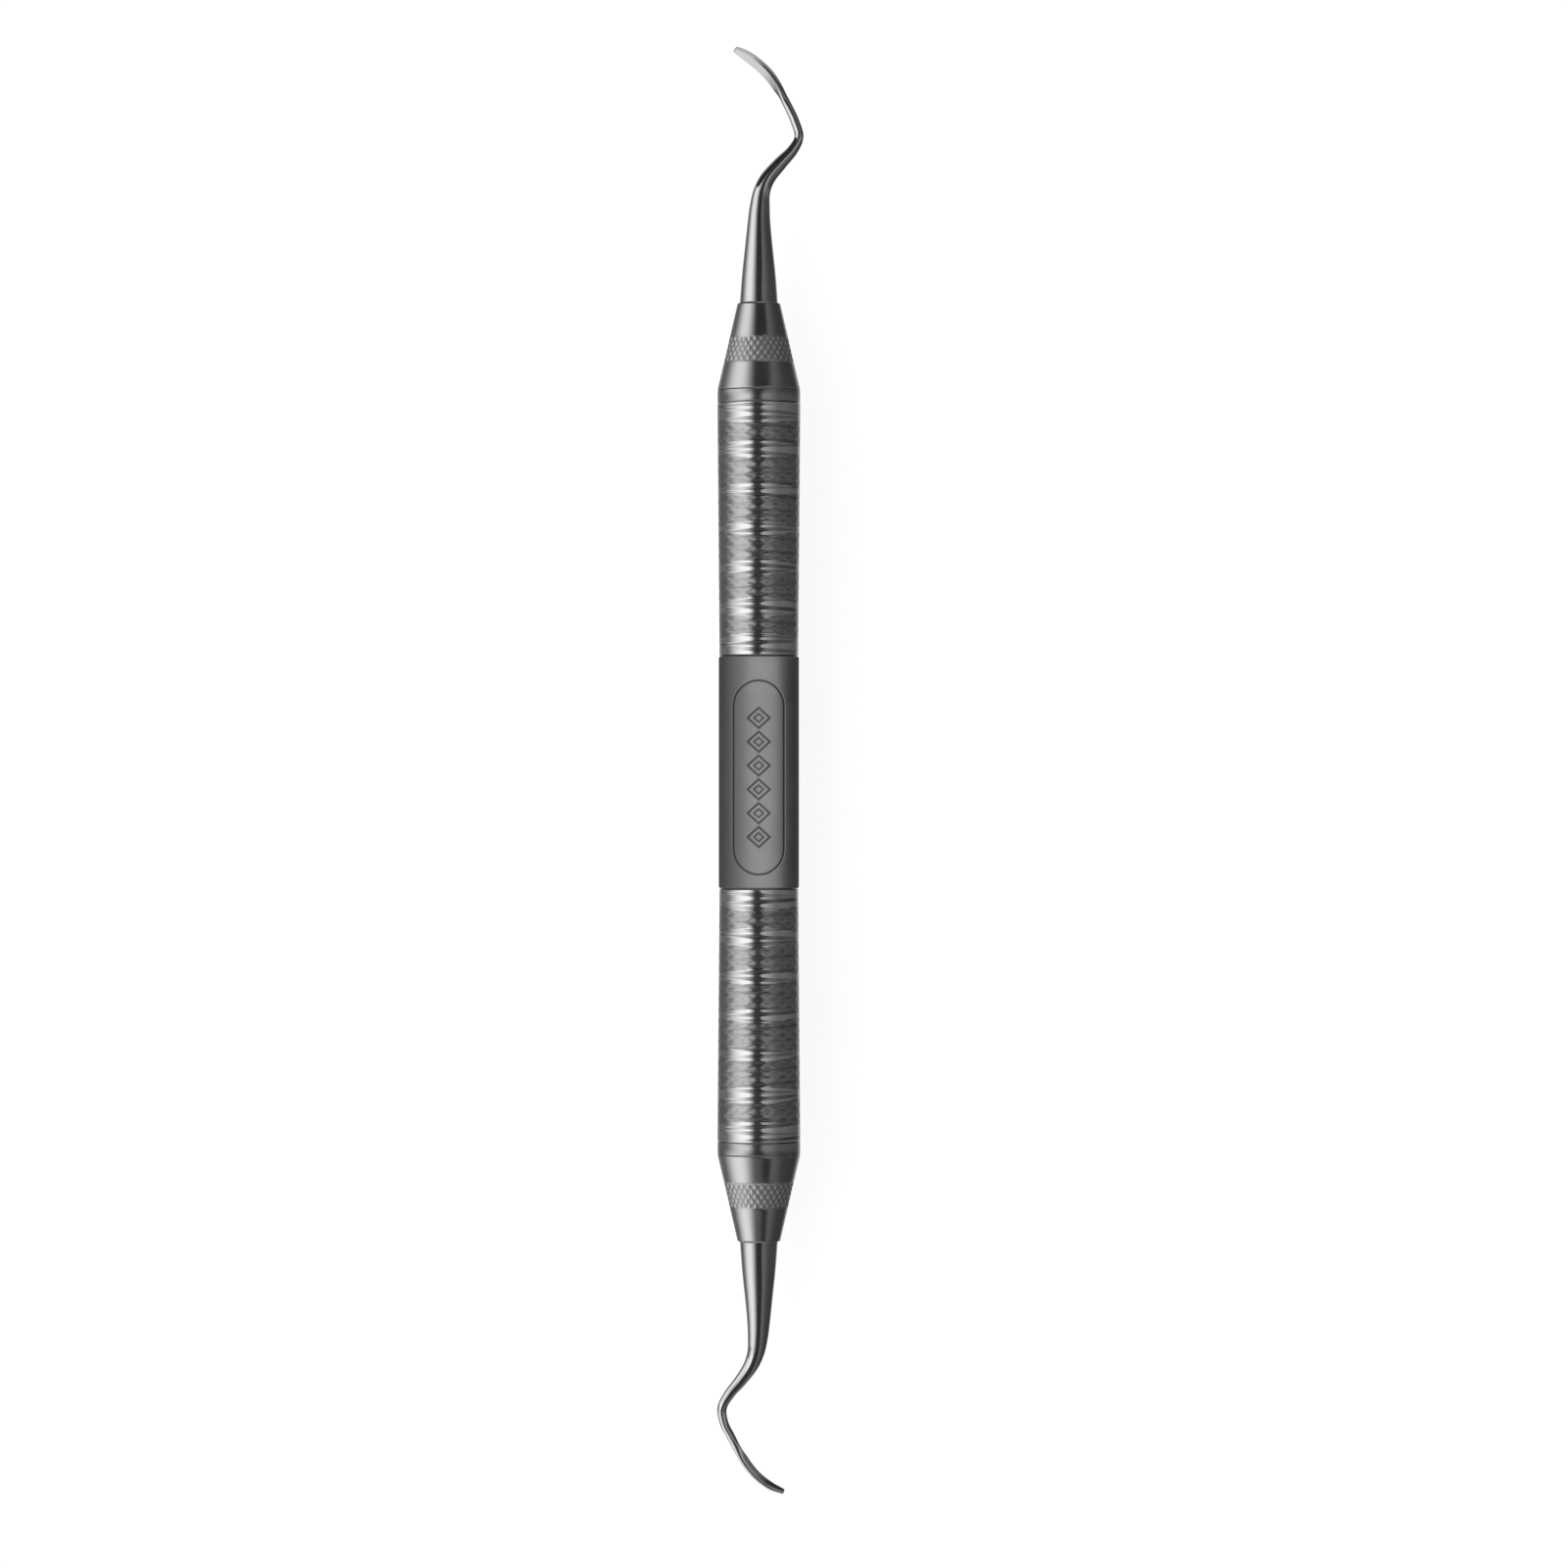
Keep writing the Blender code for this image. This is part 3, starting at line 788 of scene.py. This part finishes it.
def studio_light():
    """Soft light from round the object, laid out by direction in degrees: left is the turn from straight up
    towards +Y, right towards -Y, forward the rise towards +X, and tilt the same towards either end. The strip
    between the softbox and the reflector, where the camera is, stays dark."""
    world = bpy.data.worlds.new("studio")
    bpy.context.scene.world = world
    world.use_nodes = True
    tree = world.node_tree
    tree.nodes.clear()
    direction = tree.nodes.new("ShaderNodeSeparateXYZ")
    tree.links.new(tree.nodes.new("ShaderNodeTexCoord").outputs["Generated"], direction.inputs[0])
    x, y, z = direction.outputs
    left = calc(tree, "MULTIPLY", calc(tree, "ARCTAN2", y, z), 180 / math.pi)
    right = calc(tree, "MULTIPLY", left, -1.0)
    forward = calc(tree, "MULTIPLY", calc(tree, "ARCSINE", x), 180 / math.pi)
    backward = calc(tree, "MULTIPLY", forward, -1.0)
    tilt = calc(tree, "ABSOLUTE", forward)

    # a broad softbox on the +Y side, whose near edge is softer, and which reaches lower, away from the middle
    off_axis = ramp(tree, tilt, 3, 10)
    edge_width = calc(tree, "ADD", 22, calc(tree, "MULTIPLY", off_axis, 27))
    near_edge = ramp(tree, calc(tree, "DIVIDE", calc(tree, "SUBTRACT", left, 9), edge_width), 0, 1)
    low_part = product(tree, off_axis, ramp(tree, left, 68, 125, 1.0, 0.12))
    softbox = product(
        tree,
        1.22,
        near_edge,
        calc(tree, "MAXIMUM", ramp(tree, left, 44, 106, 1.0, 0.10), low_part),
        ramp(tree, tilt, 0, 10, 1.0, 0.83),
        ramp(tree, tilt, 30, 48, 1.0, 0.40),
    )
    # a dimmer reflector on the -Y side, brightest at its near edge
    past_tilt = calc(tree, "SUBTRACT", right, calc(tree, "MULTIPLY", tilt, 1.1))
    reflector = product(
        tree,
        ramp(tree, past_tilt, 1, 8),
        ramp(tree, past_tilt, 10, 58, 0.40, 0.115),
        ramp(tree, right, 60, 120, 1.0, 0.55),
        ramp(tree, tilt, 0, 14, 1.0, 0.30),
    )
    # a low card on the +Y side and a weak light overhead, both towards -X
    low_card = product(
        tree,
        0.82,
        ramp(tree, backward, 24, 36),
        ramp(tree, left, 92, 106),
        ramp(tree, left, 135, 155, 1.0, 0.1),
    )
    overhead = product(tree, 0.12, ramp(tree, backward, 15, 35), ramp(tree, right, -5, 25, 1.0, 0.0))
    # a soft light beyond each end
    ends = product(
        tree,
        0.8,
        ramp(tree, tilt, 50, 62),
        ramp(tree, tilt, 74, 86, 1.0, 0.3),
        ramp(tree, left, 5, 85, 1.0, 0.2),
        ramp(tree, right, 35, 160, 1.0, 0.2),
    )
    # light thrown back from under the object
    across = calc(tree, "ABSOLUTE", left)
    below = calc(
        tree,
        "MAXIMUM",
        ramp(tree, across, 132, 160),
        product(tree, ramp(tree, across, 98, 125), ramp(tree, tilt, 30, 42)),
    )
    bounce = calc(tree, "MULTIPLY", below, 0.36)
    main = calc(tree, "MAXIMUM", calc(tree, "MAXIMUM", softbox, low_card), bounce)
    total = ramp(tree, tilt, 2, 10, 0.056, 0.032)
    for light in (main, reflector, overhead, ends):
        total = calc(tree, "ADD", light, total)
    seen = tree.nodes.new("ShaderNodeLightPath").outputs["Is Camera Ray"]
    strength = tree.nodes.new("ShaderNodeMix")
    tree.links.new(seen, strength.inputs["Factor"])
    tree.links.new(total, strength.inputs["A"])
    strength.inputs["B"].default_value = 1.0
    background = tree.nodes.new("ShaderNodeBackground")
    background.inputs["Color"].default_value = (1, 1, 1, 1)
    tree.links.new(strength.outputs["Result"], background.inputs["Strength"])
    output = tree.nodes.new("ShaderNodeOutputWorld")
    tree.links.new(background.outputs["Background"], output.inputs["Surface"])


def barrel_light(barrel):
    """A soft light above that reaches the barrel alone, a little on the -Y side, where the softbox is
    weakest."""
    data = bpy.data.lights.new("barrel_light", "AREA")
    data.shape = "RECTANGLE"
    data.size = 0.12
    data.size_y = 0.36
    data.energy = 0.55
    light = bpy.data.objects.new("barrel_light", data)
    light.location = (0, -0.085, AXIS_Z + 0.15)
    light.visible_camera = False
    receivers = bpy.data.collections.new("lit_by_barrel_light")
    receivers.objects.link(barrel)
    light.light_linking.receiver_collection = receivers
    bpy.context.scene.collection.objects.link(light)


def make_floor():
    """A plain white round floor. Reflections pass it by, so that the steel keeps its dark edges."""
    mesh = bpy.data.meshes.new("floor")
    count = 64
    reach = 4.0
    turns = [2 * math.pi * k / count for k in range(count)]
    rim = [(reach * math.cos(turn), reach * math.sin(turn), 0) for turn in turns]
    mesh.from_pydata(rim, [], [tuple(range(count))])
    floor = bpy.data.objects.new("floor", mesh)
    floor.location.z = -0.02 * MM
    bpy.context.scene.collection.objects.link(floor)
    mesh.materials.append(floor_paint())
    floor.visible_glossy = False


def make_flag():
    """A black card bent round the right end's shank, out of shot, that keeps the softbox off the slanted
    part. Only reflections see it."""
    along, turn = np.meshgrid(
        np.linspace(*FLAG_ALONG, 6),
        np.radians(np.linspace(FLAG_FROM, FLAG_TO, 24)),
        indexing="ij",
    )
    points = np.stack([along, FLAG_R * np.sin(turn), AXIS_Z + FLAG_R * np.cos(turn)], axis=-1)
    flag = grid_object("flag", points, across_closed=False)
    flag.data.materials.append(flag_cloth())
    flag.visible_camera = False
    flag.visible_diffuse = False
    flag.visible_shadow = False


def make_camera():
    """Straight above, with +X up in the picture and +Y on its left."""
    data = bpy.data.cameras.new("camera")
    data.lens = LENS
    data.sensor_width = SENSOR
    data.clip_start = 0.01
    camera = bpy.data.objects.new("camera", data)
    bpy.context.scene.collection.objects.link(camera)
    height = VIEW_WIDTH * LENS / SENSOR
    place = Matrix.Translation((*VIEW_CENTRE, AXIS_Z + height))
    camera.matrix_world = place @ Matrix.Rotation(-math.pi / 2, 4, "Z")
    bpy.context.scene.camera = camera


def dress(piece, material, body, node):
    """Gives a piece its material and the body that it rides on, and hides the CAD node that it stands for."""
    piece.data.materials.append(material)
    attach(piece, body)
    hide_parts(node)


POLISHED = polished_steel()
SHANK = shank_steel()
SATIN = satin_steel()
BRIGHT = bright_satin_steel()
RUBBER = seal_rubber()

make_camera()
studio_light()
make_floor()
make_flag()
barrel = centre_barrel()
dress(barrel, SATIN, "handle", "centre_barrel")
barrel_light(barrel)
for name, side, hook in (("right", 1, RIGHT_HOOK), ("left", -1, LEFT_HOOK)):
    dress(grip_tube(name, side), POLISHED, "handle", name + "_grip_tube")
    dress(end_plug(name, side), BRIGHT, "handle", name + "_end_plug")
    dress(seal_ring(name, side), RUBBER, name + "_seal", name + "_seal_ring")
    dress(cone(name, side), BRIGHT, name + "_tip", name + "_cone")
    dress(scaler_tip(name, side, hook), SHANK, name + "_tip", name + "_scaler_tip")

bpy.context.scene.view_settings.view_transform = "Standard"

bpy.context.view_layer.update()
